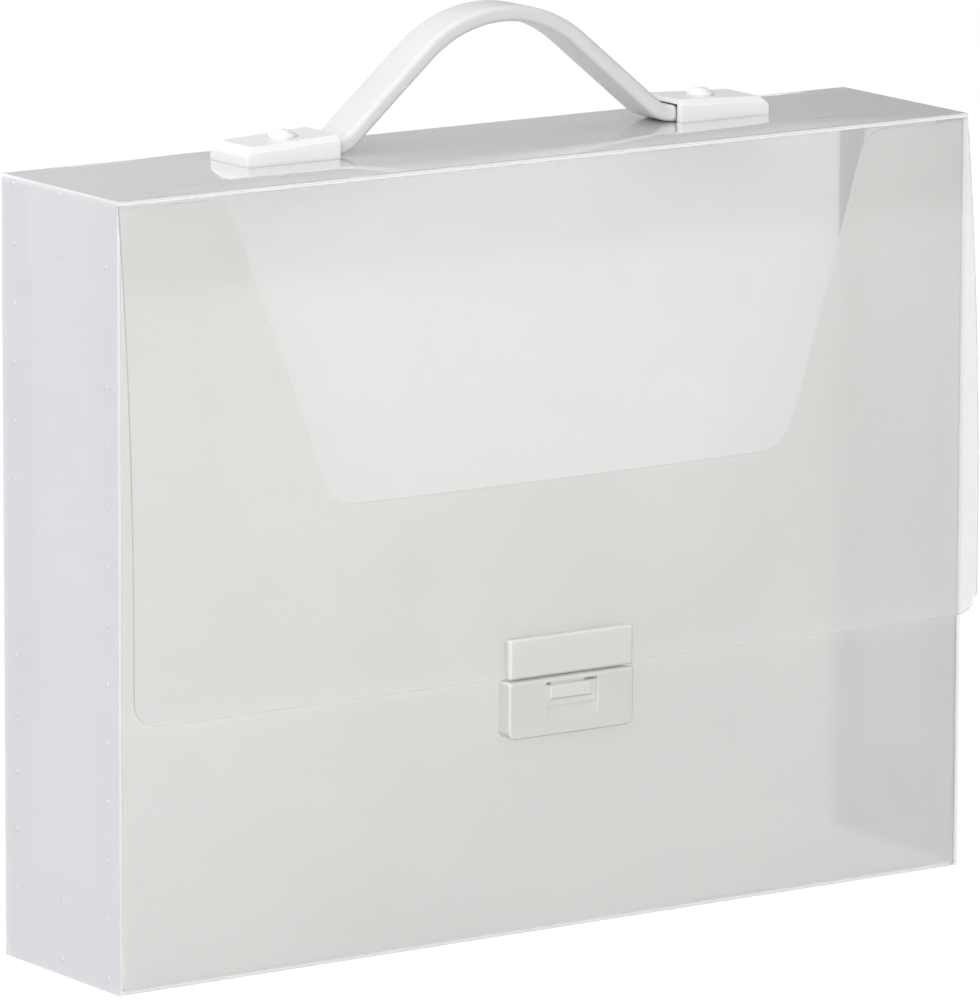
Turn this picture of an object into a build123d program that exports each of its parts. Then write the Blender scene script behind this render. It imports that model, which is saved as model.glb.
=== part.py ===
"""Document carrying case of folded translucent sheet, with a lid, a front flap, a slide latch
and an arched carrying handle.

Sizes are in millimetres. The origin is the centre of the base, +X is the width, the front
faces -Y and +Z is up.
"""
import os
from math import cos, radians, sin, sqrt, tan

from build123d import *

os.makedirs("parts", exist_ok=True)

# The box and its sheet
case_width = 328.0
case_height = 252.0
back_face_y = 34.0
front_face_y = -33.6
sheet = 1.0
fold_radius = 0.9
hinge_gap = 0.3
seat_gap = 0.3

# Welded joints between the side panels and the folded sheet
weld_gap = 0.1
flange_width = 13.0
flange_gap = 0.6
tab_height = 33.0
tab_top_width = 24.0
hem_height = 26.0

# The front panel: how far it bows out, its free edge and its cut-out
front_lip = 2.0
bow_at_latch = 5.6
bow_at_cutout = 7.2
bow_at_shoulder = 5.0
bow_latch_z = 76.0
bow_side_share = 0.75
bow_low_share = 0.6
shoulder_drop = 47.0
front_top_drop = 2.5
cutout_bottom_z = 149.0
cutout_bottom_width = 176.0
cutout_top_width = 248.0
cutout_bottom_radius = 13.0
cutout_top_radius = 10.0

# The lid: how far it arches up under the handle, between a level strip along each fold
lid_rise = 1.8
lid_rise_run = 9.0
lid_fold_strip = 1.0
lid_level_x = 104.0

# The flap
flap_belly = 8.1
flap_flat_height = 30.0
flap_bottom_z = 87.0
flap_corner_radius = 8.5

# The strike on the flap
strike_width = 48.0
strike_bottom_z = 86.5
strike_height = 13.0
strike_thickness = 2.2
strike_corner_radius = 0.8
strike_bevel = 0.7
strike_backing_thickness = 1.1
strike_backing_width = 44.0
strike_backing_drop = 0.7
strike_backing_height = 10.7
strike_peg_spacing = 34.0
strike_peg_radius = 1.5

# The latch housing and its window
housing_width = 48.4
housing_bottom_z = 66.8
housing_top_z = 85.5
housing_front_y = -45.2
housing_wall = 1.1
housing_floor = 1.4
housing_corner_radius = 3.0
housing_bevel = 0.6
housing_peg_spacing = 38.0
housing_peg_radius = 1.6
window_width = 20.0
window_top_rim = 1.2
window_bottom_rim = 5.2
scoop_height = 4.2
latch_backing_width = 44.0
latch_backing_height = 14.0
latch_backing_thickness = 1.2

# The latch button, its slider plate and the nose that locks the strike
button_width = 16.4
button_height = 4.3
button_top_z = 82.8
button_inset = 0.3
button_chamfer = 0.4
slider_width = 24.0
slider_top_z = 83.0
slider_height = 8.6
slider_clearance = 0.15
nose_width = 13.0
nose_thickness = 0.8
nose_chamfer = 0.4
nose_clearance = 0.3
nose_running_gap = 0.1
shelf_width = 6.0
shelf_reach = 2.6
shelf_z = 76.4
shelf_thickness = 2.0

# The spring under the shelf: a strip bent to and fro
spring_legs = 5
spring_leg_run = 4.4
spring_strip = 0.4
spring_strip_width = 2.0
spring_clearance = 0.02
spring_rib_thickness = 0.8
spring_rib_height = 1.5
spring_rib_gap = 0.3

# The strap
handle_foot_x = 66.0
strap_width = 16.5
strap_thickness = 5.2
strap_edge_chamfer = 1.3
strap_crest_rise = 42.4
strap_crest_radius = 46.0
strap_slope = 40.0
strap_foot_rise = 2.9
strap_end_gap = 0.4
strap_end_rise = 2.3
strap_end_thickness = 3.8
strap_end_bridge = 3.2
strap_travel = 7.0

# The holders, and the rivets that the strap's ends slide on
holder_length = 35.0
holder_depth = 21.6
holder_height = 7.6
holder_fall = 1.6
holder_roof = 1.7
holder_end_wall = 2.0
holder_chamfer = 1.8
holder_end_chamfer = 2.6
strap_side_clearance = 0.3
handle_rivet_offset = 15.0
handle_rivet_radius = 2.3
handle_rivet_head_radius = 4.5
handle_rivet_head_height = 1.1
handle_rivet_dome_height = 2.9
handle_rivet_crown_radius = 2.2
handle_rivet_crown_drop = 0.5
handle_rivet_rim_height = 1.2
handle_rivet_seat_drop = 1.0
handle_rivet_seat_clearance = 0.3
slot_clearance = 0.2
handle_backing_thickness = 1.5
handle_backing_inset = 0.5
holder_peg_radius = 0.9
holder_peg_inset = 4.0

# Pegs and their holes
peg_clearance = 0.05
peg_stand = 0.3

# Places that follow from the sizes above
side_x = case_width / 2
panel_x = side_x - sheet
wrap_x = panel_x - weld_gap
flange_x = wrap_x - sheet
middle_y = (back_face_y + front_face_y) / 2
half_inside = (back_face_y - front_face_y) / 2 - sheet
lid_bottom_z = case_height - sheet
front_top_z = case_height - front_top_drop
shoulder_z = case_height - shoulder_drop
wall_top_z = lid_bottom_z - seat_gap
hinge_z = case_height - sheet / 2
back_hinge_y = back_face_y - sheet / 2
fold_y = front_face_y - seat_gap - sheet
fold_hinge_y = fold_y + sheet / 2
flap_top_z = lid_bottom_z - hinge_gap
flap_low_y = fold_y - flap_belly
strike_rear_y = flap_low_y + sheet
strike_z = strike_bottom_z + strike_height / 2
housing_z = (housing_bottom_z + housing_top_z) / 2
housing_height = housing_top_z - housing_bottom_z
slider_front_y = housing_front_y + housing_wall + slider_clearance
slider_rear_y = strike_rear_y - nose_running_gap
backing_lip_z = strike_bottom_z - strike_backing_drop
nose_top_z = backing_lip_z - nose_clearance
spring_floor_z = housing_bottom_z + housing_floor
spring_y = slider_rear_y + spring_rib_gap + spring_strip_width / 2
spring_low_z = spring_floor_z + spring_clearance + spring_strip / 2
spring_high_z = shelf_z - spring_clearance - spring_strip / 2
spring_pitch = (spring_high_z - spring_low_z) / (spring_legs - 1)
spring_half_width = (spring_leg_run + spring_pitch + spring_strip) / 2
lid_crest_z = case_height + lid_rise
strap_crest_z = case_height + strap_crest_rise
strap_foot_z = lid_crest_z + strap_foot_rise
strap_end_z = lid_crest_z + strap_end_rise
holder_x = handle_foot_x + holder_length / 2
holder_end_x = handle_foot_x + holder_length
holder_top_z = lid_crest_z + holder_height
tunnel_length = holder_length - holder_end_wall
tunnel_fall = holder_fall * tunnel_length / holder_length
handle_rivet_x = handle_foot_x + handle_rivet_offset
handle_rivet_seat_z = holder_top_z - handle_rivet_seat_drop
backing_top_z = lid_crest_z - sheet
backing_bottom_z = backing_top_z - handle_backing_thickness
tunnel_width = strap_width + 2 * strap_side_clearance
holder_peg_x = handle_foot_x + holder_length - holder_peg_inset
holder_peg_spacing = (holder_depth + tunnel_width) / 2


def front_plane(y):
    """A sketch plane at this depth that faces the front: its X is +X and its Y is +Z."""
    return Plane.XZ.offset(-y)


def bow_section(z, bow):
    """The outline at this height of the space behind the bowed front panel."""
    with BuildSketch(Plane.XY.offset(z)) as section:
        with BuildLine():
            Spline(
                (-flange_x, front_face_y),
                (-flange_x / 2, front_face_y - bow_side_share * bow),
                (0, front_face_y - bow),
                (flange_x / 2, front_face_y - bow_side_share * bow),
                (flange_x, front_face_y),
            )
            Polyline(
                (flange_x, front_face_y),
                (flange_x, middle_y),
                (-flange_x, middle_y),
                (-flange_x, front_face_y),
            )
        make_face()
    return section.sketch


# The space behind the front panel's outer face. Moved back by a thickness, it shapes the
# panel, the backs of what seats on it and the plate inside it
bow_space = loft(
    sections=[
        bow_section(front_lip, 0),
        bow_section((front_lip + bow_latch_z) / 2, bow_low_share * bow_at_latch),
        bow_section(bow_latch_z, bow_at_latch),
        bow_section(cutout_bottom_z, bow_at_cutout),
        bow_section(shoulder_z, bow_at_shoulder),
        bow_section(front_top_z, 0),
    ]
)
inner_space = Pos(0, sheet, 0) * bow_space
latch_backing_space = Pos(0, sheet + peg_clearance, 0) * bow_space
behind_latch_backing = Pos(0, sheet + latch_backing_thickness, 0) * bow_space

# Front panel: the bowed sheet inside its outline, with the cut-out for a hand
with BuildPart() as front_panel:
    add(bow_space)
    add(inner_space, mode=Mode.SUBTRACT)
    with BuildSketch(front_plane(0)) as outline:
        with BuildLine():
            Polyline(
                (-wrap_x, front_lip),
                (wrap_x, front_lip),
                (wrap_x, front_top_z),
                (cutout_top_width / 2, front_top_z),
                (cutout_bottom_width / 2, cutout_bottom_z),
                (-cutout_bottom_width / 2, cutout_bottom_z),
                (-cutout_top_width / 2, front_top_z),
                (-wrap_x, front_top_z),
                close=True,
            )
        make_face()
        inside = outline.vertices().filter_by(lambda v: abs(v.X) < flange_x)
        fillet(inside.group_by(Axis.Y)[0], cutout_bottom_radius)
        inside = outline.vertices().filter_by(lambda v: abs(v.X) < flange_x)
        fillet(inside.group_by(Axis.Y)[-1], cutout_top_radius)
    extrude(amount=-front_face_y + 2 * bow_at_cutout, mode=Mode.INTERSECT)
    with Locations(front_plane(0)):
        with Locations((-housing_peg_spacing / 2, housing_z), (housing_peg_spacing / 2, housing_z)):
            Hole(housing_peg_radius + peg_clearance)

# Flanges and bottom tab, in the layer behind the right side panel, with mitred gaps
tab_shoulder_z = tab_height - (half_inside - flange_gap - tab_top_width / 2)
mitre_z = tab_shoulder_z - flange_gap + sqrt(2) * flange_gap
with BuildPart() as flanges:
    with BuildSketch(Plane.YZ.offset(flange_x)):
        for fold_side, top_z in ((-1, front_top_z), (1, wall_top_z)):
            edge_y = middle_y + fold_side * half_inside
            free_y = edge_y - fold_side * flange_width
            with BuildLine():
                Polyline(
                    (edge_y, mitre_z),
                    (edge_y, top_z),
                    (free_y, top_z),
                    (free_y, mitre_z + flange_width),
                    close=True,
                )
            make_face()
        with BuildLine():
            Polyline(
                (middle_y - half_inside + flange_gap, 0),
                (middle_y - half_inside + flange_gap, tab_shoulder_z),
                (middle_y - tab_top_width / 2, tab_height),
                (middle_y + tab_top_width / 2, tab_height),
                (middle_y + half_inside - flange_gap, tab_shoulder_z),
                (middle_y + half_inside - flange_gap, 0),
                close=True,
            )
        make_face()
    extrude(amount=sheet)
    # Rounded upright folds that join the flanges to the front and the back
    for fold_side, start_angle, top_z in ((-1, -90, front_top_z), (1, 0, wall_top_z)):
        corner = (flange_x, middle_y + fold_side * half_inside)
        with BuildSketch(Plane.XY.offset(front_lip)):
            with BuildLine():
                fold = CenterArc(corner, sheet, start_angle, 90)
                Polyline(fold @ 1, corner, fold @ 0)
            make_face()
        extrude(amount=top_z - front_lip)

# Body wrap: front, bottom and back in one folded sheet, with its flanges and tabs
with BuildPart() as body_wrap:
    with BuildSketch(Plane.YZ) as profile:
        with BuildLine():
            Polyline(
                (front_face_y, front_lip),
                (front_face_y, 0),
                (back_face_y, 0),
                (back_face_y, wall_top_z),
                (back_face_y - sheet, wall_top_z),
                (back_face_y - sheet, sheet),
                (front_face_y + sheet, sheet),
                (front_face_y + sheet, front_lip),
                close=True,
            )
        make_face()
        fillet(profile.vertices().group_by(Axis.Y)[0], fold_radius)
    extrude(amount=flange_x, both=True)
    add(front_panel.part)
    add(flanges.part)
    add(mirror(flanges.part, about=Plane.YZ, mode=Mode.PRIVATE))
body_wrap.part.label = "body_wrap"
export_step(body_wrap.part, "parts/body_wrap.step")

# Side panel: a flat sheet with its top edge folded in as a hem between the flanges
hem_width = 2 * (half_inside - flange_width - flange_gap)
with BuildPart() as side_panel_right:
    with BuildSketch(Plane.YZ.offset(panel_x)):
        with Locations((middle_y, 0)):
            Rectangle(back_face_y - front_face_y, wall_top_z, align=(Align.CENTER, Align.MIN))
    extrude(amount=sheet)
    with BuildSketch(Plane.YZ.offset(flange_x)):
        with Locations((middle_y, wall_top_z)):
            Rectangle(hem_width, hem_height, align=(Align.CENTER, Align.MAX))
    extrude(amount=panel_x - flange_x)
    top_fold = side_panel_right.edges().filter_by(Axis.Y).group_by(Axis.Z)[-1].sort_by(Axis.X)[-1]
    fillet(top_fold, fold_radius)
side_panel_right.part.label = "side_panel_right"
export_step(side_panel_right.part, "parts/side_panel_right.step")

side_panel_left = mirror(side_panel_right.part, about=Plane.YZ)
side_panel_left.label = "side_panel_left"
export_step(side_panel_left, "parts/side_panel_left.step")



def lid_section(x, rise):
    """The outline across the case at this X of the space under the lid's top face."""
    with BuildSketch(Plane.YZ.offset(x)) as section:
        with BuildLine():
            front_strip = Line(
                (fold_hinge_y, case_height), (fold_hinge_y + lid_fold_strip, case_height)
            )
            front_start = front_strip @ 1
            front_rise = Bezier(
                front_start,
                front_start + Vector(lid_rise_run / 2, rise),
                front_start + Vector(lid_rise_run, rise),
            )
            back_strip = Line(
                (back_hinge_y, case_height), (back_hinge_y - lid_fold_strip, case_height)
            )
            back_start = back_strip @ 1
            back_rise = Bezier(
                back_start,
                back_start + Vector(-lid_rise_run / 2, rise),
                back_start + Vector(-lid_rise_run, rise),
            )
            Line(front_rise @ 1, back_rise @ 1)
            Polyline(
                back_strip @ 0,
                (back_hinge_y, wall_top_z),
                (fold_hinge_y, wall_top_z),
                front_strip @ 0,
            )
        make_face()
    return section.sketch


# The space under the lid's top face, which rises from both ends to a level stretch
lid_space = loft(
    sections=[
        lid_section(-side_x, 0),
        lid_section(-lid_level_x, lid_rise),
        lid_section(lid_level_x, lid_rise),
        lid_section(side_x, 0),
    ],
    ruled=True,
)

# Lid: an arched sheet with a round bead along both folds, pierced for the handle
with BuildPart() as lid_panel:
    add(lid_space)
    add(Pos(0, 0, -sheet) * lid_space, mode=Mode.SUBTRACT)
    with BuildSketch(Plane.YZ):
        with Locations((fold_hinge_y, hinge_z), (back_hinge_y, hinge_z)):
            Circle(sheet / 2)
    extrude(amount=side_x, both=True)
    with Locations((-handle_rivet_x, 0, hinge_z), (handle_rivet_x, 0, hinge_z)):
        Hole(handle_rivet_radius + peg_clearance)
    with Locations((0, 0, hinge_z)):
        with GridLocations(2 * holder_peg_x, holder_peg_spacing, 2, 2):
            Hole(holder_peg_radius + peg_clearance)
lid_panel.part.label = "lid_panel"
export_step(lid_panel.part, "parts/lid_panel.step")

# Flap: hangs from the lid's fold, bellies forward and ends in a flat stretch for the strike
flap_flat_z = flap_bottom_z + flap_flat_height
with BuildPart() as front_flap:
    with BuildSketch(Plane.YZ):
        with BuildLine():
            flat = Line((flap_low_y, flap_bottom_z), (flap_low_y, flap_flat_z))
            belly = TangentArc(flat @ 1, (fold_y, flap_top_z), tangent=(0, 1))
            Line(belly @ 1, (fold_y + sheet, flap_top_z))
            inner_flat = Line((strike_rear_y, flap_bottom_z), (strike_rear_y, flap_flat_z))
            TangentArc(inner_flat @ 1, (fold_y + sheet, flap_top_z), tangent=(0, 1))
            Line(inner_flat @ 0, flat @ 0)
        make_face()
    extrude(amount=side_x, both=True)
    fillet(front_flap.edges().filter_by(Axis.Y).group_by(Axis.Z)[0], flap_corner_radius)
    with Locations(front_plane(flap_low_y)):
        with Locations((-strike_peg_spacing / 2, strike_z), (strike_peg_spacing / 2, strike_z)):
            Hole(strike_peg_radius + peg_clearance, depth=sheet)
front_flap.part.label = "front_flap"
export_step(front_flap.part, "parts/front_flap.step")

# Strike plate: a bevelled bar on the front of the flap, with two pegs through it
with BuildPart() as strike_plate:
    with BuildSketch(front_plane(flap_low_y)):
        with Locations((0, strike_z)):
            RectangleRounded(strike_width, strike_height, strike_corner_radius)
    extrude(amount=strike_thickness)
    front_edges = strike_plate.faces().sort_by(Axis.Y)[0].edges()
    chamfer(front_edges.sort_by(Axis.Z)[1:], strike_bevel)
    with BuildSketch(front_plane(flap_low_y)):
        with Locations((-strike_peg_spacing / 2, strike_z), (strike_peg_spacing / 2, strike_z)):
            Circle(strike_peg_radius)
    extrude(amount=-(sheet + strike_backing_thickness + peg_stand))
strike_plate.part.label = "strike_plate"
export_step(strike_plate.part, "parts/strike_plate.step")

# Strike backing: the plate behind the flap, whose lower lip the nose holds on to
with BuildPart() as strike_backing:
    with BuildSketch(front_plane(strike_rear_y)):
        with Locations((0, backing_lip_z)):
            Rectangle(
                strike_backing_width, strike_backing_height, align=(Align.CENTER, Align.MIN)
            )
    extrude(amount=-strike_backing_thickness)
    corners = strike_backing.edges().filter_by(Axis.Y)
    fillet(corners, strike_corner_radius)
    with Locations(front_plane(strike_rear_y)):
        with Locations((-strike_peg_spacing / 2, strike_z), (strike_peg_spacing / 2, strike_z)):
            Hole(strike_peg_radius + peg_clearance, depth=strike_backing_thickness)
strike_backing.part.label = "strike_backing"
export_step(strike_backing.part, "parts/strike_backing.step")

# Latch housing: a bevelled cover with a window and a scoop, hollow for the slider, whose
# back follows the bowed front panel and whose pegs go through it
cavity_width = slider_width + 2 * slider_clearance
cavity_top_z = housing_top_z - window_top_rim
peg_end_y = front_face_y - bow_at_latch + sheet + latch_backing_thickness + peg_stand
with BuildPart() as latch_housing:
    with BuildSketch(front_plane(housing_front_y)) as face:
        with Locations((0, housing_z)):
            Rectangle(housing_width, housing_height)
        fillet(face.vertices().group_by(Axis.Y)[0], housing_corner_radius)
        fillet(face.vertices().group_by(Axis.Y)[-1], strike_corner_radius)
    extrude(amount=housing_front_y - front_face_y)
    chamfer(latch_housing.faces().sort_by(Axis.Y)[0].edges(), housing_bevel)
    add(bow_space, mode=Mode.SUBTRACT)
    with BuildSketch(front_plane(housing_front_y + housing_wall)):
        with Locations((0, spring_floor_z)):
            Rectangle(
                cavity_width, cavity_top_z - spring_floor_z, align=(Align.CENTER, Align.MIN)
            )
    extrude(amount=-(front_face_y - housing_front_y), mode=Mode.SUBTRACT)
    # Window with a sloped scoop under the button
    with BuildSketch(Plane.YZ):
        window_sill_z = housing_bottom_z + window_bottom_rim
        with BuildLine():
            Polyline(
                (housing_front_y, window_sill_z),
                (housing_front_y, cavity_top_z),
                (housing_front_y + housing_wall, cavity_top_z),
                (housing_front_y + housing_wall, window_sill_z + scoop_height),
                close=True,
            )
        make_face()
    extrude(amount=window_width / 2, both=True, mode=Mode.SUBTRACT)
    # Slot in the top for the nose
    with BuildSketch(Plane.XY.offset(housing_top_z)):
        with Locations((0, slider_rear_y - nose_thickness / 2)):
            Rectangle(
                nose_width + 2 * nose_clearance, nose_thickness + 2 * slider_clearance
            )
    extrude(amount=-2 * window_top_rim, mode=Mode.SUBTRACT)
    # Ribs that hold the spring's foot
    with BuildSketch(Plane.XY.offset(spring_floor_z)):
        rib_x = spring_half_width + spring_rib_gap + spring_rib_thickness / 2
        with Locations((-rib_x, spring_y), (rib_x, spring_y)):
            Rectangle(spring_rib_thickness, spring_strip_width)
    extrude(amount=spring_rib_height)
    with BuildSketch(front_plane(peg_end_y)):
        with Locations(
            (-housing_peg_spacing / 2, housing_z), (housing_peg_spacing / 2, housing_z)
        ):
            Circle(housing_peg_radius)
    extrude(amount=peg_end_y - housing_front_y - 2 * housing_wall)
latch_housing.part.label = "latch_housing"
export_step(latch_housing.part, "parts/latch_housing.step")

# Latch backing: the plate inside the case that takes the housing's pegs
with BuildPart() as latch_backing:
    with BuildSketch(front_plane(front_face_y + sheet)):
        with Locations((0, housing_z)):
            RectangleRounded(latch_backing_width, latch_backing_height, strike_corner_radius)
    extrude(amount=2 * bow_at_latch, both=True)
    add(latch_backing_space, mode=Mode.INTERSECT)
    add(behind_latch_backing, mode=Mode.SUBTRACT)
    with Locations(front_plane(front_face_y)):
        with Locations((-housing_peg_spacing / 2, housing_z), (housing_peg_spacing / 2, housing_z)):
            Hole(housing_peg_radius + peg_clearance)
latch_backing.part.label = "latch_backing"
export_step(latch_backing.part, "parts/latch_backing.step")

# Latch slider: plate, button bar, nose and the shelf that the spring pushes up
with BuildPart() as latch_slider:
    with BuildSketch(front_plane(slider_rear_y)):
        with Locations((0, slider_top_z)):
            Rectangle(slider_width, slider_height, align=(Align.CENTER, Align.MAX))
    extrude(amount=slider_rear_y - slider_front_y)
    with BuildSketch(front_plane(slider_rear_y)):
        with Locations((0, slider_top_z)):
            Rectangle(nose_width, nose_top_z - slider_top_z, align=(Align.CENTER, Align.MIN))
    extrude(amount=nose_thickness)
    nose_edge = latch_slider.edges().filter_by(Axis.X).group_by(Axis.Z)[-1].sort_by(Axis.Y)[0]
    chamfer(nose_edge, nose_chamfer)
    with BuildSketch(front_plane(slider_front_y)):
        with Locations((0, button_top_z)):
            Rectangle(button_width, button_height, align=(Align.CENTER, Align.MAX))
    extrude(amount=slider_front_y - housing_front_y - button_inset)
    chamfer(latch_slider.faces().sort_by(Axis.Y)[0].edges(), button_chamfer)
    with BuildSketch(Plane.XY.offset(shelf_z)):
        with Locations((0, slider_rear_y)):
            Rectangle(shelf_width, shelf_reach, align=(Align.CENTER, Align.MIN))
    extrude(amount=shelf_thickness)
latch_slider.part.label = "latch_slider"
export_step(latch_slider.part, "parts/latch_slider.step")

# Latch spring: one strip whose level legs are joined by half-round bends
with BuildPart() as latch_spring:
    with BuildSketch(front_plane(spring_y)):
        with BuildLine():
            heading = 1
            leg_start = Vector(-spring_leg_run / 2, spring_low_z)
            for leg in range(spring_legs):
                line = Line(leg_start, leg_start + Vector(heading * spring_leg_run, 0))
                if leg < spring_legs - 1:
                    leg_start = line @ 1 + Vector(0, spring_pitch)
                    TangentArc(line @ 1, leg_start, tangent=(heading, 0))
                    heading = -heading
            offset(amount=spring_strip / 2, side=Side.BOTH)
        make_face()
    extrude(amount=spring_strip_width / 2, both=True)
latch_spring.part.label = "latch_spring"
export_step(latch_spring.part, "parts/latch_spring.step")

# Strap: an arched band with bevelled edges, whose feet lie level in the holders' mouths
slope = radians(strap_slope)
crest_run = strap_crest_radius * sin(slope)
crest_drop = strap_crest_radius * (1 - cos(slope))
foot_run = handle_foot_x - crest_run
foot_drop = strap_crest_z - crest_drop - strap_foot_z
foot_radius = (foot_run * tan(slope) - foot_drop) / (sin(slope) * tan(slope) + cos(slope) - 1)
with BuildPart() as strap:
    with BuildSketch(front_plane(-strap_width / 2)):
        with BuildLine():
            crest_centre = (0, strap_crest_z - strap_crest_radius)
            crest = CenterArc(crest_centre, strap_crest_radius, 90 - strap_slope, 2 * strap_slope)
            for hand, top in ((1, crest @ 0), (-1, crest @ 1)):
                low = Vector(
                    hand * (handle_foot_x - foot_radius * sin(slope)),
                    strap_foot_z + foot_radius * (1 - cos(slope)),
                )
                Line(top, low)
                RadiusArc(low, (hand * handle_foot_x, strap_foot_z), hand * foot_radius)
            offset(amount=strap_thickness / 2, side=Side.BOTH)
        make_face()
        with Locations((0, strap_foot_z - strap_thickness)):
            Rectangle(
                2 * handle_foot_x,
                strap_crest_z - strap_foot_z + 2 * strap_thickness,
                align=(Align.CENTER, Align.MIN),
                mode=Mode.INTERSECT,
            )
    extrude(amount=-strap_width)
    side_edges = strap.faces().filter_by(Axis.Y).edges()
    chamfer(side_edges.filter_by(Axis.Z, reverse=True), strap_edge_chamfer)
strap.part.label = "strap"
export_step(strap.part, "parts/strap.step")

# Right strap end: a tongue with a slot, so that it slides outwards on the holder's rivet
slot_radius = handle_rivet_radius + slot_clearance
tongue_start_x = handle_foot_x + strap_end_gap
tongue_tip_x = handle_rivet_x + slot_radius + strap_end_bridge
with BuildPart() as strap_end_right:
    with BuildSketch(Plane.XY.offset(strap_end_z - strap_end_thickness / 2)) as tongue:
        with Locations((tongue_start_x, 0)):
            Rectangle(
                tongue_tip_x - tongue_start_x, strap_width, align=(Align.MIN, Align.CENTER)
            )
        fillet(tongue.vertices().group_by(Axis.X)[-1], strap_end_bridge)
        with Locations((handle_rivet_x - strap_travel / 2, 0)):
            SlotCenterToCenter(strap_travel, 2 * slot_radius, mode=Mode.SUBTRACT)
    extrude(amount=strap_end_thickness)
strap_end_right.part.label = "strap_end_right"
export_step(strap_end_right.part, "parts/strap_end_right.step")

strap_end_left = mirror(strap_end_right.part, about=Plane.YZ)
strap_end_left.label = "strap_end_left"
export_step(strap_end_left, "parts/strap_end_left.step")

# Right holder: a bevelled cover that falls towards its outer end, open below and at its
# mouth, with a round seat for the rivet's head and pegs through the lid
with BuildPart() as handle_holder_right:
    with BuildSketch(Plane.XZ):
        with BuildLine():
            Polyline(
                (handle_foot_x, lid_crest_z),
                (handle_foot_x, holder_top_z),
                (holder_end_x, holder_top_z - holder_fall),
                (holder_end_x, lid_crest_z),
                close=True,
            )
        make_face()
    extrude(amount=holder_depth / 2, both=True)
    top_edges = handle_holder_right.faces().sort_by(Axis.Z)[-1].edges().sort_by(Axis.X)
    chamfer(top_edges[-1], holder_end_chamfer)
    top_edges = handle_holder_right.faces().sort_by(Axis.Z)[-1].edges().sort_by(Axis.Y)
    chamfer([top_edges[0], top_edges[-1]], holder_chamfer)
    with BuildSketch(Plane.XZ):
        with BuildLine():
            Polyline(
                (handle_foot_x, lid_crest_z),
                (handle_foot_x, holder_top_z - holder_roof),
                (handle_foot_x + tunnel_length, holder_top_z - holder_roof - tunnel_fall),
                (handle_foot_x + tunnel_length, lid_crest_z),
                close=True,
            )
        make_face()
    extrude(amount=tunnel_width / 2, both=True, mode=Mode.SUBTRACT)
    with BuildSketch(Plane.XY.offset(handle_rivet_seat_z)):
        with Locations((handle_rivet_x, 0)):
            Circle(handle_rivet_head_radius + handle_rivet_seat_clearance)
    extrude(amount=handle_rivet_seat_drop, mode=Mode.SUBTRACT)
    with Locations((handle_rivet_x, 0, lid_crest_z)):
        Hole(handle_rivet_radius + peg_clearance)
    with BuildSketch(Plane.XY.offset(lid_crest_z)):
        with Locations((holder_peg_x, 0)):
            with GridLocations(0, holder_peg_spacing, 1, 2):
                Circle(holder_peg_radius)
    extrude(amount=backing_bottom_z - lid_crest_z)
handle_holder_right.part.label = "handle_holder_right"
export_step(handle_holder_right.part, "parts/handle_holder_right.step")

handle_holder_left = mirror(handle_holder_right.part, about=Plane.YZ)
handle_holder_left.label = "handle_holder_left"
export_step(handle_holder_left, "parts/handle_holder_left.step")

# Right handle backing: the plate under the lid that spreads the handle's load
with BuildPart() as handle_backing_right:
    with BuildSketch(Plane.XY.offset(backing_top_z)):
        with Locations((holder_x, 0)):
            RectangleRounded(holder_length - 2 * handle_backing_inset, holder_depth, holder_chamfer)
        with Locations((holder_peg_x, 0)):
            with GridLocations(0, holder_peg_spacing, 1, 2):
                Circle(holder_peg_radius + peg_clearance, mode=Mode.SUBTRACT)
        with Locations((handle_rivet_x, 0)):
            Circle(handle_rivet_radius + peg_clearance, mode=Mode.SUBTRACT)
    extrude(amount=-handle_backing_thickness)
handle_backing_right.part.label = "handle_backing_right"
export_step(handle_backing_right.part, "parts/handle_backing_right.step")

handle_backing_left = mirror(handle_backing_right.part, about=Plane.YZ)
handle_backing_left.label = "handle_backing_left"
export_step(handle_backing_left, "parts/handle_backing_left.step")

# Handle rivets: crowned above, through the holder's seat, the slot, the lid and the plate
with BuildPart() as handle_rivets:
    for hand in (-1, 1):
        with BuildSketch(Plane.XZ.move(Location((hand * handle_rivet_x, 0, 0)))):
            with BuildLine():
                dome_top_z = handle_rivet_seat_z + handle_rivet_dome_height
                middle = Line((0, backing_bottom_z - handle_rivet_head_height), (0, dome_top_z))
                Polyline(
                    middle @ 1,
                    (handle_rivet_crown_radius, dome_top_z - handle_rivet_crown_drop),
                    (handle_rivet_head_radius, handle_rivet_seat_z + handle_rivet_rim_height),
                    (handle_rivet_head_radius, handle_rivet_seat_z),
                    (handle_rivet_radius, handle_rivet_seat_z),
                    (handle_rivet_radius, backing_bottom_z),
                    (handle_rivet_head_radius, backing_bottom_z),
                    (handle_rivet_head_radius, backing_bottom_z - handle_rivet_head_height),
                    middle @ 0,
                )
            make_face()
        revolve(axis=Axis((hand * handle_rivet_x, 0, 0), (0, 0, 1)))
handle_rivets.part.label = "handle_rivets"
export_step(handle_rivets.part, "parts/handle_rivets.step")
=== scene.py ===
"""Looks of the translucent document carrying case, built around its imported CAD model.

Everything is in the CAD frame: the origin is the centre of the base, +X is the width, the
front faces -Y and +Z is up. Blender works in metres. The sizes of the strap, the latch spring
and the weld dots are named in millimetres, as in the CAD model, and scaled by MM.
"""

from math import cos, pi, radians, sin

import bmesh
import bpy
from mathutils import Matrix, Vector


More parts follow.
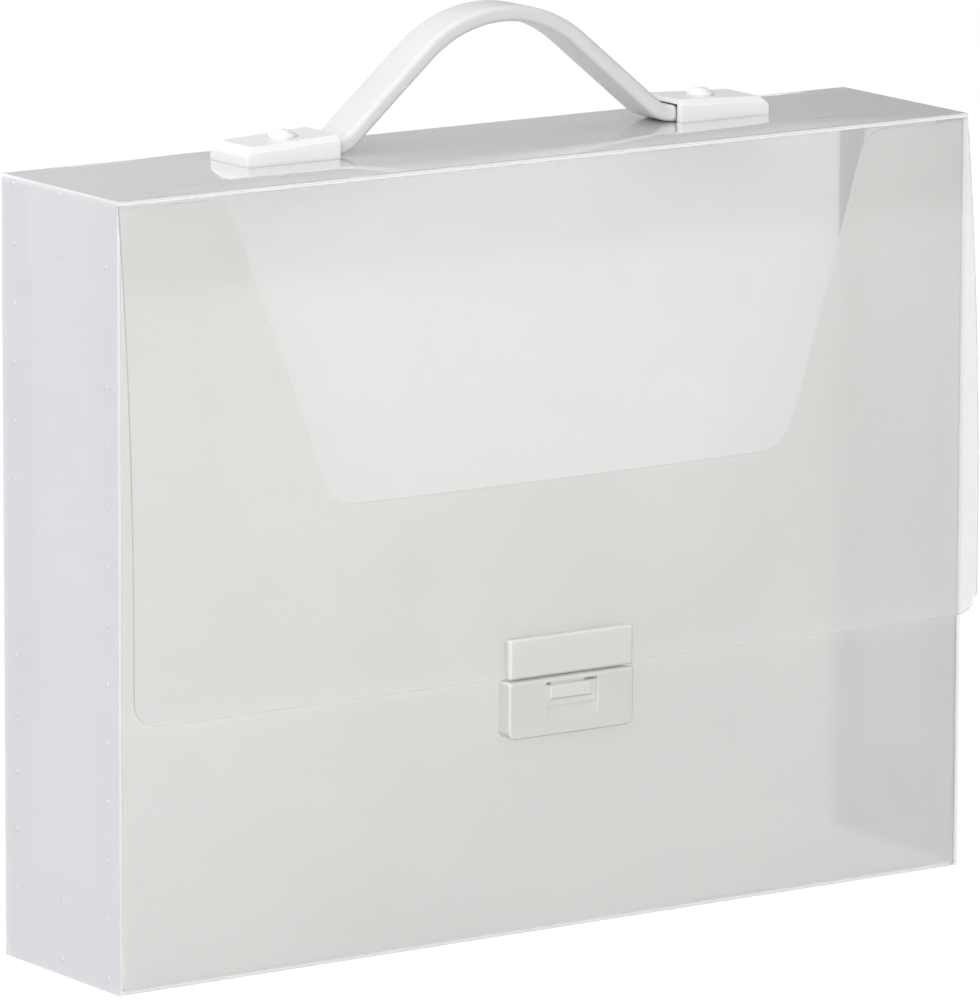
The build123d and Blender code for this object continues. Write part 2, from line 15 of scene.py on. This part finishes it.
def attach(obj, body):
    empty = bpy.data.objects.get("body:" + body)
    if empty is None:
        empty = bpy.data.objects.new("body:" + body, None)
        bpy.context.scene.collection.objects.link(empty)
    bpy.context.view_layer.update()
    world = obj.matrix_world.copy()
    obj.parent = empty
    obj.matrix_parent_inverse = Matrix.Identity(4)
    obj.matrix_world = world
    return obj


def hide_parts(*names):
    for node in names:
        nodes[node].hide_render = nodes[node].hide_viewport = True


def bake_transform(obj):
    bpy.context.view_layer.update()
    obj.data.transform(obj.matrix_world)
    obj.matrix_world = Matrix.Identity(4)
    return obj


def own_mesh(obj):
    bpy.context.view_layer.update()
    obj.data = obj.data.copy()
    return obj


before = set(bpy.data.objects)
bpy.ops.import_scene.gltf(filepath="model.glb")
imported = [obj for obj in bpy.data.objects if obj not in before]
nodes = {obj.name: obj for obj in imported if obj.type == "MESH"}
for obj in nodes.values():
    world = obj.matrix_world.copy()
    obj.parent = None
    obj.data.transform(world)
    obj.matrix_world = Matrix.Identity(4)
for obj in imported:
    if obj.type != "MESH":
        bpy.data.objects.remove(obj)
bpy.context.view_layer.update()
scene = bpy.context.scene

MM = 0.001

# The camera, as fitted to the box in the photograph
CAMERA_AZIMUTH = radians(-34.52)
CAMERA_ELEVATION = radians(10.98)
CAMERA_ROLL = radians(0.183)
CAMERA_DISTANCE = 3.2155
CAMERA_ACROSS = -0.000764
CAMERA_UP = 0.009155
CAMERA_LENS = 359.02
CAMERA_SENSOR = 36.0
CAMERA_CLIP_END = 100
LOOK_AT = Vector((0, 0, 0.126))

# The studio: an even surround that dims towards the right, over a pale floor
WORLD_LEVEL = 0.97
WORLD_DIM_LEVEL = 0.2
WORLD_DIM_WAY = (0.9, -0.2, 0.15)
WORLD_DIM_START = 0.18
WORLD_DIM_END = 0.53
WORLD_COLOUR = (0.98, 0.98, 1.0, 1)
FLOOR_GREY = 0.55
FLOOR_WHITE = 1.15
FLOOR_WHITE_SHARE = 0.82
FLOOR_HALF = 20.0
LAMP_TARGET = (0, 0, 0.12)


# Materials

# The band of a noise's values that carries its change
NOISE_LOW = 0.3
NOISE_HIGH = 0.7

# Frosted sheet
SHEET_IOR = 1.45
CLOUD_SCALE = 18
FROST_SCALE = 900
FROST_SPREAD = 0.02
FROST_BUMP = 0.15
FROST_DEPTH = 0.05 * MM
# Painted highlight on the sheets' cut edges, for the light that the sheet carries out at its edges
EDGE_HIGHLIGHT_COLOUR = (0.99, 0.99, 0.99, 1)
EDGE_START = 0.6
EDGE_FULL = 0.9

# Moulded plastic
PLASTIC_IOR = 1.49
FLOW_SCALE = 60
FLOW_STRETCH = (0.4, 1, 1)
GRAIN_SCALE = 1600
GRAIN_SPREAD = 0.02
GRAIN_BUMP = 0.03
GRAIN_DEPTH = 0.01 * MM
GLOW_SHARE = 0.5
GLOW_REACH = 2 * MM

# Drawn steel
STREAK_SCALE = 900
STREAK_STRETCH = (1, 1, 0.1)
STEEL_LOW = (0.55, 0.55, 0.57)
STEEL_HIGH = (0.68, 0.68, 0.7)
STEEL_SMOOTH = 0.25
STEEL_ROUGH = 0.4


class Nodes:
    """A material's node tree, with short calls for adding and joining nodes."""

    def __init__(self, name):
        self.material = bpy.data.materials.new(name)
        self.material.use_nodes = True
        self.tree = self.material.node_tree
        self.tree.nodes.clear()
        self.output = self.add("ShaderNodeOutputMaterial")

    def add(self, kind, **settings):
        node = self.tree.nodes.new(kind)
        for key, value in settings.items():
            setattr(node, key, value)
        return node

    def link(self, start, end):
        self.tree.links.new(start, end)

    def coordinates(self):
        """The piece's own coordinates in metres."""
        return self.add("ShaderNodeTexCoord").outputs["Object"]

    def noise(self, scale, detail, stretch=None):
        """Soft cloudy noise in object coordinates, finer with a larger scale."""
        noise = self.add("ShaderNodeTexNoise")
        noise.inputs["Scale"].default_value = scale
        noise.inputs["Detail"].default_value = detail
        where = self.coordinates()
        if stretch:
            mapping = self.add("ShaderNodeMapping")
            mapping.inputs["Scale"].default_value = stretch
            self.link(where, mapping.inputs["Vector"])
            where = mapping.outputs["Vector"]
        self.link(where, noise.inputs["Vector"])
        return noise.outputs["Fac"]

    def ramp(self, value, low, high, start=0.0, end=1.0):
        """Maps value from start..end onto low..high, which are numbers or colours."""
        if isinstance(low, tuple):
            mix = self.add("ShaderNodeMix", data_type="RGBA")
            span = self.ramp(value, 0.0, 1.0, start, end)
            self.link(span, mix.inputs["Factor"])
            mix.inputs["A"].default_value = (*low, 1)
            mix.inputs["B"].default_value = (*high, 1)
            return mix.outputs["Result"]
        remap = self.add("ShaderNodeMapRange")
        for name, number in (
            ("From Min", start), ("From Max", end), ("To Min", low), ("To Max", high)
        ):
            remap.inputs[name].default_value = number
        self.link(value, remap.inputs["Value"])
        return remap.outputs["Result"]

    def edges(self, ways):
        """1 on the cut edges, whose normals point along the axes weighted in ways, else 0."""
        normal = self.add("ShaderNodeTexCoord").outputs["Normal"]
        size = self.add("ShaderNodeVectorMath", operation="ABSOLUTE")
        self.link(normal, size.inputs[0])
        along = self.add("ShaderNodeVectorMath", operation="DOT_PRODUCT")
        self.link(size.outputs["Vector"], along.inputs[0])
        along.inputs[1].default_value = ways
        return self.ramp(along.outputs["Value"], 0.0, 1.0, EDGE_START, EDGE_FULL)

    def spread(self, noise, middle, reach):
        """A number that a noise moves about its middle."""
        return self.ramp(noise, middle - reach, middle + reach, NOISE_LOW, NOISE_HIGH)

    def blend(self, share, first, second):
        """The first colour, a socket, with this share of the second one, a value."""
        mix = self.add("ShaderNodeMix", data_type="RGBA")
        self.link(share, mix.inputs["Factor"])
        self.link(first, mix.inputs["A"])
        mix.inputs["B"].default_value = second
        return mix.outputs["Result"]

    def bump(self, height, strength, distance):
        """A normal that follows the height, a socket, up to the distance in metres."""
        bump = self.add("ShaderNodeBump")
        bump.inputs["Strength"].default_value = strength
        bump.inputs["Distance"].default_value = distance
        self.link(height, bump.inputs["Height"])
        return bump.outputs["Normal"]


def sheet_material(
    name, low, high, see_through, frosting, edge_ways, coat=0.25, coat_roughness=0.15, far=None
):
    """Frosted polypropylene sheet: what lies behind it shows softly, and its cut edges are painted
    pale, a painted highlight for the light that the sheet carries out at its edges.

    edge_ways holds the weights of the axes along which the edges' normals point. far paints the
    sheet's far part paler as painted light, and changes how see-through it is: axis, start and
    end of the change in mm, colour and see_through.
    """
    m = Nodes(name)
    shader = m.add("ShaderNodeBsdfPrincipled")
    cloud = m.noise(CLOUD_SCALE, detail=4)
    face = m.ramp(cloud, low, high, NOISE_LOW, NOISE_HIGH)
    if far:
        axis, start, end, far_painted_colour, far_see_through = far
        place = m.add("ShaderNodeSeparateXYZ")
        m.link(m.coordinates(), place.inputs["Vector"])
        beyond = m.ramp(place.outputs[axis], 0.0, 1.0, start * MM, end * MM)
        # Painted light: the far part of the sheet is blended towards the far colour
        face = m.blend(beyond, face, (*far_painted_colour, 1))
        m.link(m.ramp(beyond, see_through, far_see_through), shader.inputs["Transmission Weight"])
    # Painted highlight: the cut edges are blended towards a pale colour
    colour = m.blend(m.edges(edge_ways), face, EDGE_HIGHLIGHT_COLOUR)
    m.link(colour, shader.inputs["Base Color"])
    frost = m.noise(FROST_SCALE, detail=2)
    m.link(m.spread(frost, frosting, FROST_SPREAD), shader.inputs["Roughness"])
    m.link(m.bump(frost, FROST_BUMP, FROST_DEPTH), shader.inputs["Normal"])
    shader.inputs["IOR"].default_value = SHEET_IOR
    shader.inputs["Transmission Weight"].default_value = see_through
    shader.inputs["Coat Weight"].default_value = coat
    shader.inputs["Coat Roughness"].default_value = coat_roughness
    m.link(shader.outputs["BSDF"], m.output.inputs["Surface"])
    return m.material


def moulded_material(name, low, high, roughness):
    """Moulded white plastic with a fine skin and faint flow marks."""
    m = Nodes(name)
    shader = m.add("ShaderNodeBsdfPrincipled")
    flow = m.noise(FLOW_SCALE, detail=4, stretch=FLOW_STRETCH)
    m.link(m.ramp(flow, low, high, NOISE_LOW, NOISE_HIGH), shader.inputs["Base Color"])
    grain = m.noise(GRAIN_SCALE, detail=2)
    m.link(m.spread(grain, roughness, GRAIN_SPREAD), shader.inputs["Roughness"])
    m.link(m.bump(grain, GRAIN_BUMP, GRAIN_DEPTH), shader.inputs["Normal"])
    shader.inputs["IOR"].default_value = PLASTIC_IOR
    shader.inputs["Subsurface Weight"].default_value = GLOW_SHARE
    shader.inputs["Subsurface Radius"].default_value = (GLOW_REACH, GLOW_REACH, GLOW_REACH)
    shader.inputs["Subsurface Scale"].default_value = 1.0
    m.link(shader.outputs["BSDF"], m.output.inputs["Surface"])
    return m.material


def steel_material(name):
    """Bright drawn spring steel with fine streaks."""
    m = Nodes(name)
    shader = m.add("ShaderNodeBsdfPrincipled")
    streaks = m.noise(STREAK_SCALE, detail=3, stretch=STREAK_STRETCH)
    m.link(m.ramp(streaks, STEEL_LOW, STEEL_HIGH), shader.inputs["Base Color"])
    m.link(m.ramp(streaks, STEEL_SMOOTH, STEEL_ROUGH), shader.inputs["Roughness"])
    shader.inputs["Metallic"].default_value = 1.0
    m.link(shader.outputs["BSDF"], m.output.inputs["Surface"])
    return m.material


# The case is one sheet throughout, and its panels' colours differ as painted light and shade: the
# side panels are painted darker and cooler than the front, the lid and the flap darker, to offset
# the light that falls on each
front_sheet = sheet_material(
    "front_sheet", (0.865, 0.865, 0.85), (0.885, 0.885, 0.87), see_through=0.46, frosting=0.14,
    # Painted light: the wrap's parts behind its front panel, the bottom and back, are painted paler
    # and made more see-through, for the light that comes through from behind
    edge_ways=(1, 0, 0), far=("Y", -30, -25, (0.995, 0.995, 0.98), 0.76),
)
side_sheet = sheet_material(
    "side_sheet", (0.725, 0.73, 0.75), (0.745, 0.75, 0.77), see_through=0.38, frosting=0.18,
    # Painted light: the right side panel is painted paler and made less see-through than the left,
    # to lighten its shaded inner face
    edge_ways=(0, 1, 1), far=("X", -1, 1, (0.9, 0.905, 0.92), 0.15),
)
lid_sheet = sheet_material(
    "lid_sheet", (0.74, 0.74, 0.735), (0.76, 0.76, 0.755), see_through=0.35, frosting=0.08,
    edge_ways=(1, 1, 0), coat=1.0, coat_roughness=0.03,
)
flap_sheet = sheet_material(
    "flap_sheet", (0.825, 0.825, 0.82), (0.84, 0.84, 0.835), see_through=0.82, frosting=0.06,
    edge_ways=(1, 0, 1),
)
# Painted highlight: the fold strips are painted near white and kept nearly opaque, for the light
# that the rounded folds catch from above
fold_highlight_sheet = sheet_material(
    "fold_highlight_sheet", (0.96, 0.96, 0.95), (0.98, 0.98, 0.97), see_through=0.1, frosting=0.3,
    edge_ways=(1, 0, 0),
)
dot_sheet = sheet_material(
    "dot_sheet", (0.64, 0.645, 0.66), (0.66, 0.665, 0.68), see_through=0.1, frosting=0.2,
    edge_ways=(0, 1, 1),
)
strike_plastic = moulded_material("strike_plastic", (0.69, 0.69, 0.66), (0.72, 0.72, 0.69), 0.3)
latch_plastic = moulded_material("latch_plastic", (0.65, 0.65, 0.625), (0.68, 0.68, 0.655), 0.3)
handle_plastic = moulded_material("handle_plastic", (0.8, 0.8, 0.8), (0.83, 0.83, 0.83), 0.3)
strap_plastic = moulded_material("strap_plastic", (0.66, 0.66, 0.66), (0.69, 0.69, 0.69), 0.35)
spring_steel = steel_material("spring_steel")

NODE_MATERIALS = {
    front_sheet: ["body_wrap"],
    side_sheet: ["side_panel_left", "side_panel_right"],
    lid_sheet: ["lid_panel"],
    flap_sheet: ["front_flap"],
    strike_plastic: ["strike_plate", "strike_backing", "latch_slider"],
    latch_plastic: ["latch_housing", "latch_backing"],
    handle_plastic: [
        "handle_holder_left", "handle_holder_right", "handle_backing_left",
        "handle_backing_right", "handle_rivets",
    ],
    strap_plastic: ["strap_end_left", "strap_end_right"],
}
for material, names in NODE_MATERIALS.items():
    for name in names:
        nodes[name].data.materials.clear()
        nodes[name].data.materials.append(material)

# Lamps shine through plastic this thin, so these lay no shadow on what is behind them
THIN_NODES = [
    "front_flap", "lid_panel", "side_panel_left", "side_panel_right", "strike_plate",
    "latch_housing",
]
for name in THIN_NODES:
    nodes[name].visible_shadow = False


# Mesh helpers


def mesh_object(name, vertices, faces, material, smooth=True):
    """Makes an object of points in metres, with its faces turned outwards."""
    mesh = bpy.data.meshes.new(name)
    mesh.from_pydata([Vector(v) for v in vertices], [], faces)
    mesh.validate()
    tidy = bmesh.new()
    tidy.from_mesh(mesh)
    bmesh.ops.recalc_face_normals(tidy, faces=tidy.faces)
    tidy.to_mesh(mesh)
    tidy.free()
    mesh.polygons.foreach_set("use_smooth", [smooth] * len(mesh.polygons))
    mesh.materials.append(material)
    made = bpy.data.objects.new(name, mesh)
    scene.collection.objects.link(made)
    return made


def tube_faces(rings, around):
    """Quads between rings of points, and a cap on each end."""
    faces = []
    for i in range(rings - 1):
        for j in range(around):
            k = (j + 1) % around
            here = i * around
            there = here + around
            faces.append((here + j, here + k, there + k, there + j))
    faces.append(tuple(reversed(range(around))))
    faces.append(tuple(range((rings - 1) * around, rings * around)))
    return faces


def swept(name, path, section, material):
    """A band along a path in an XZ plane; its section is given across (Y) and up.

    The path and the section are in millimetres.
    """
    vertices = []
    for i, point in enumerate(path):
        ahead = path[min(i + 1, len(path) - 1)] - path[max(i - 1, 0)]
        if i in (0, len(path) - 1):
            ahead = Vector((1, 0, 0))
        ahead.normalize()
        up = Vector((-ahead.z, 0, ahead.x))
        for across, rise in section:
            vertices.append((point + Vector((0, across, 0)) + up * rise) * MM)
    return mesh_object(name, vertices, tube_faces(len(path), len(section)), material)


# Folds, in metres

FOLD_HALF_WIDTH = 0.1639
FOLD_LOW_Z = 0.25066
FOLD_HIGH_Z = 0.25130
FOLD_ROWS = 8


def fold_strip(name, outer_y, inner_y):
    """The thin web of a fold, along the whole width, in rows up its height."""
    rows = range(FOLD_ROWS)
    vertices = []
    for end in (-FOLD_HALF_WIDTH, FOLD_HALF_WIDTH):
        for y, order in ((outer_y, rows), (inner_y, reversed(rows))):
            for row in order:
                share = row / (FOLD_ROWS - 1)
                vertices.append((end, y, FOLD_LOW_Z + (FOLD_HIGH_Z - FOLD_LOW_Z) * share))
    return mesh_object(name, vertices, tube_faces(2, 2 * FOLD_ROWS), fold_highlight_sheet, smooth=False)


front_fold = fold_strip("front_fold", outer_y=-0.03478, inner_y=-0.03405)
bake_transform(front_fold)

back_fold = fold_strip("back_fold", outer_y=0.03388, inner_y=0.03315)
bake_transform(back_fold)


# Strap, in millimetres

FOOT_X = 66.0
FOOT_Z = 256.7
CREST_Z = 294.4
CREST_RADIUS = 46.0
SLOPE = radians(40.0)
STRAP_WIDTH = 16.5
STRAP_THICKNESS = 5.2
STRAP_EDGE = 1.7
STRAP_LEAN = 1.0
STRAP_STEPS = 140
STRAP_CORNER_STEPS = 5


def strap_path():
    """Points on the strap's middle line from the left foot to the right one.

    Each half is an arc at the crest, a straight slope and an arc at the foot. The whole strap
    leans a little to the left, as in the photograph.
    """
    crest_run = CREST_RADIUS * sin(SLOPE)
    crest_drop = CREST_RADIUS * (1 - cos(SLOPE))
    foot_run = FOOT_X - crest_run
    foot_drop = CREST_Z - crest_drop - FOOT_Z
    tangent = sin(SLOPE) / cos(SLOPE)
    foot_radius = (foot_run * tangent - foot_drop) / (sin(SLOPE) * tangent + cos(SLOPE) - 1)
    straight = (foot_run - foot_radius * sin(SLOPE)) / cos(SLOPE)
    lengths = (CREST_RADIUS * SLOPE, straight, foot_radius * SLOPE)
    half_length = sum(lengths)
    points = []
    for i in range(STRAP_STEPS + 1):
        along = half_length * (2 * i / STRAP_STEPS - 1)
        side = 1 if along >= 0 else -1
        s = abs(along)
        if s <= lengths[0]:
            turn = s / CREST_RADIUS
            x = CREST_RADIUS * sin(turn)
            z = CREST_Z - CREST_RADIUS * (1 - cos(turn))
        elif s <= lengths[0] + lengths[1]:
            run = s - lengths[0]
            x = crest_run + run * cos(SLOPE)
            z = CREST_Z - crest_drop - run * sin(SLOPE)
        else:
            turn = (half_length - s) / foot_radius
            x = FOOT_X - foot_radius * sin(turn)
            z = FOOT_Z + foot_radius * (1 - cos(turn))
        lean = STRAP_LEAN * (1 - (x / FOOT_X) ** 2)
        points.append(Vector((side * x - lean, 0, z)))
    return points


def rounded_section(width, thickness, radius):
    """A rectangle with round corners: across is Y, up is the strap's thickness."""
    steps = STRAP_CORNER_STEPS
    section = []
    for across, up, start in ((1, 1, 0), (-1, 1, 90), (-1, -1, 180), (1, -1, 270)):
        for step in range(steps + 1):
            angle = radians(start + 90 * step / steps)
            section.append((
                across * (width / 2 - radius) + radius * cos(angle),
                up * (thickness / 2 - radius) + radius * sin(angle),
            ))
    return section


def make_strap():
    """The strap's arched band, fixed to the lid."""
    section = rounded_section(STRAP_WIDTH, STRAP_THICKNESS, STRAP_EDGE)
    strap = swept("strap_band", strap_path(), section, strap_plastic)
    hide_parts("strap")
    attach(strap, "lid")
    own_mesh(strap)


make_strap()


# Latch spring, in millimetres

SPRING_Y = -40.8
SPRING_LOW_Z = 68.42
SPRING_PITCH = 1.94
SPRING_RUN = 4.4
SPRING_LEGS = 5
SPRING_STRIP = 0.4
SPRING_WIDTH = 2.0
SPRING_BEND_STEPS = 10


def spring_path():
    """Level legs joined by half-round bends, from the bottom up."""
    points = []
    for leg in range(SPRING_LEGS):
        heading = 1 if leg % 2 == 0 else -1
        z = SPRING_LOW_Z + leg * SPRING_PITCH
        points.append(Vector((-heading * SPRING_RUN / 2, SPRING_Y, z)))
        if leg == SPRING_LEGS - 1:
            points.append(Vector((heading * SPRING_RUN / 2, SPRING_Y, z)))
            break
        for step in range(SPRING_BEND_STEPS):
            angle = pi * step / SPRING_BEND_STEPS
            points.append(Vector((
                heading * (SPRING_RUN / 2 + SPRING_PITCH / 2 * sin(angle)),
                SPRING_Y,
                z + SPRING_PITCH / 2 * (1 - cos(angle)),
            )))
    return points


def make_spring():
    """The spring again, as a swept steel strip on the case body in place of the model's spring."""
    half_width = SPRING_WIDTH / 2
    half_strip = SPRING_STRIP / 2
    section = [
        (half_width, half_strip), (-half_width, half_strip),
        (-half_width, -half_strip), (half_width, -half_strip),
    ]
    spring = swept("spring_strip", spring_path(), section, spring_steel)
    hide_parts("latch_spring")
    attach(spring, "case_body")
    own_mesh(spring)


make_spring()


# Weld dots, in millimetres

DOT_RADIUS = 0.8
DOT_RISE = 0.15
DOT_STEPS = 20
DOT_RINGS = ((1.0, -0.02), (0.92, 0.6), (0.6, 1.0))
DOT_COLUMNS_Y = (-27, 27)
DOT_ROWS = 14
DOT_FIRST_Z = 4.6
DOT_PITCH = 18.82
DOT_MIDDLE_Z = (5.2, 24.0, 230.5, 249.3)
SIDE_X = 164.0


def weld_dots(side):
    """Spot welds that join a side panel to the flanges behind it: shallow round pimples."""
    places = [(y, DOT_FIRST_Z + DOT_PITCH * row) for y in DOT_COLUMNS_Y for row in range(DOT_ROWS)]
    places += [(0, z) for z in DOT_MIDDLE_Z]
    around = DOT_STEPS
    vertices = []
    faces = []
    for y, z in places:
        first = len(vertices)
        for radius, rise in DOT_RINGS:
            for step in range(around):
                angle = 2 * pi * step / around
                vertices.append((
                    side * (SIDE_X + DOT_RISE * rise) * MM,
                    (y + DOT_RADIUS * radius * cos(angle)) * MM,
                    (z + DOT_RADIUS * radius * sin(angle)) * MM,
                ))
        for ring in (0, 1):
            for step in range(around):
                a = first + ring * around + step
                b = first + ring * around + (step + 1) % around
                faces.append((a, b, b + around, a + around))
        faces.append(tuple(first + 2 * around + step for step in range(around)))
        faces.append(tuple(first + step for step in reversed(range(around))))
    hand = "left" if side < 0 else "right"
    dots = mesh_object(f"weld_dots_{hand}", vertices, faces, dot_sheet)
    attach(dots, "case_body")


weld_dots(-1)
weld_dots(1)


# Stage, light, camera


def make_floor():
    """Pale floor: plain white to the camera, with a soft share of the object's shadow."""
    m = Nodes("floor")
    pale = m.add("ShaderNodeBsdfDiffuse")
    pale.inputs["Color"].default_value = (FLOOR_GREY, FLOOR_GREY, FLOOR_GREY, 1)
    white = m.add("ShaderNodeEmission")
    path = m.add("ShaderNodeLightPath")
    seen = m.add("ShaderNodeMath", operation="MAXIMUM")
    m.link(path.outputs["Is Camera Ray"], seen.inputs[0])
    m.link(path.outputs["Is Glossy Ray"], seen.inputs[1])
    either = m.add("ShaderNodeMath", operation="MAXIMUM")
    m.link(seen.outputs[0], either.inputs[0])
    m.link(path.outputs["Is Transmission Ray"], either.inputs[1])
    share = m.add("ShaderNodeMath", operation="MULTIPLY")
    m.link(either.outputs[0], share.inputs[0])
    share.inputs[1].default_value = FLOOR_WHITE_SHARE
    mix = m.add("ShaderNodeMixShader")
    white.inputs["Strength"].default_value = FLOOR_WHITE
    m.link(share.outputs[0], mix.inputs["Fac"])
    m.link(pale.outputs[0], mix.inputs[1])
    m.link(white.outputs[0], mix.inputs[2])
    m.link(mix.outputs[0], m.output.inputs["Surface"])
    corners = [(x * FLOOR_HALF, y * FLOOR_HALF, 0) for x, y in ((-1, -1), (1, -1), (1, 1), (-1, 1))]
    floor = mesh_object("floor", corners, [(0, 1, 2, 3)], m.material)


def make_world():
    """Soft studio surround that dims towards the object's right."""
    world = bpy.data.worlds.new("studio")
    scene.world = world
    world.use_nodes = True
    tree = world.node_tree
    background = tree.nodes["Background"]
    where = tree.nodes.new("ShaderNodeTexCoord")
    facing = tree.nodes.new("ShaderNodeVectorMath")
    facing.operation = "DOT_PRODUCT"
    facing.inputs[1].default_value = Vector(WORLD_DIM_WAY).normalized()
    tree.links.new(where.outputs["Generated"], facing.inputs[0])
    ramp = tree.nodes.new("ShaderNodeMapRange")
    for name, number in (
        ("From Min", WORLD_DIM_START), ("From Max", WORLD_DIM_END),
        ("To Min", WORLD_LEVEL), ("To Max", WORLD_DIM_LEVEL),
    ):
        ramp.inputs[name].default_value = number
    tree.links.new(facing.outputs["Value"], ramp.inputs["Value"])
    tree.links.new(ramp.outputs["Result"], background.inputs["Strength"])
    background.inputs["Color"].default_value = WORLD_COLOUR


def area_light(name, place, size, power, colour):
    """A soft square of light that faces the middle of the case."""
    data = bpy.data.lights.new(name, "AREA")
    data.shape = "RECTANGLE"
    data.size, data.size_y = size
    data.energy = power
    data.color = colour
    lamp = bpy.data.objects.new(name, data)
    scene.collection.objects.link(lamp)
    lamp.location = place
    aim = Vector(LAMP_TARGET) - Vector(place)
    lamp.rotation_euler = aim.to_track_quat("-Z", "Y").to_euler()


def make_camera():
    """The camera of the photograph: a long lens, turned and shifted as the fit says."""
    data = bpy.data.cameras.new("camera")
    camera = bpy.data.objects.new("camera", data)
    scene.collection.objects.link(camera)
    a, e = CAMERA_AZIMUTH, CAMERA_ELEVATION
    back = Vector((sin(a) * cos(e), -cos(a) * cos(e), sin(e)))
    level = Vector((cos(a), sin(a), 0))
    upright = back.cross(level)
    across = level * cos(CAMERA_ROLL) + upright * sin(CAMERA_ROLL)
    up = upright * cos(CAMERA_ROLL) - level * sin(CAMERA_ROLL)
    place = LOOK_AT + across * CAMERA_ACROSS + up * CAMERA_UP + back * CAMERA_DISTANCE
    turn = Matrix((across, up, back)).transposed().to_4x4()
    camera.matrix_world = Matrix.Translation(place) @ turn
    data.lens = CAMERA_LENS
    data.sensor_width = CAMERA_SENSOR
    data.clip_end = CAMERA_CLIP_END
    scene.camera = camera


make_floor()
make_world()
area_light("key", (-1.5, -2.3, 1.4), size=(1.8, 1.4), power=49, colour=(1.0, 0.995, 0.98))
area_light("side", (-2.4, -0.3, 1.2), size=(1.4, 1.4), power=6, colour=(0.96, 0.98, 1.0))
area_light("top", (0, 0.1, 1.5), size=(1.0, 1.0), power=2.5, colour=(1.0, 1.0, 1.0))
make_camera()

scene.view_settings.view_transform = "Standard"
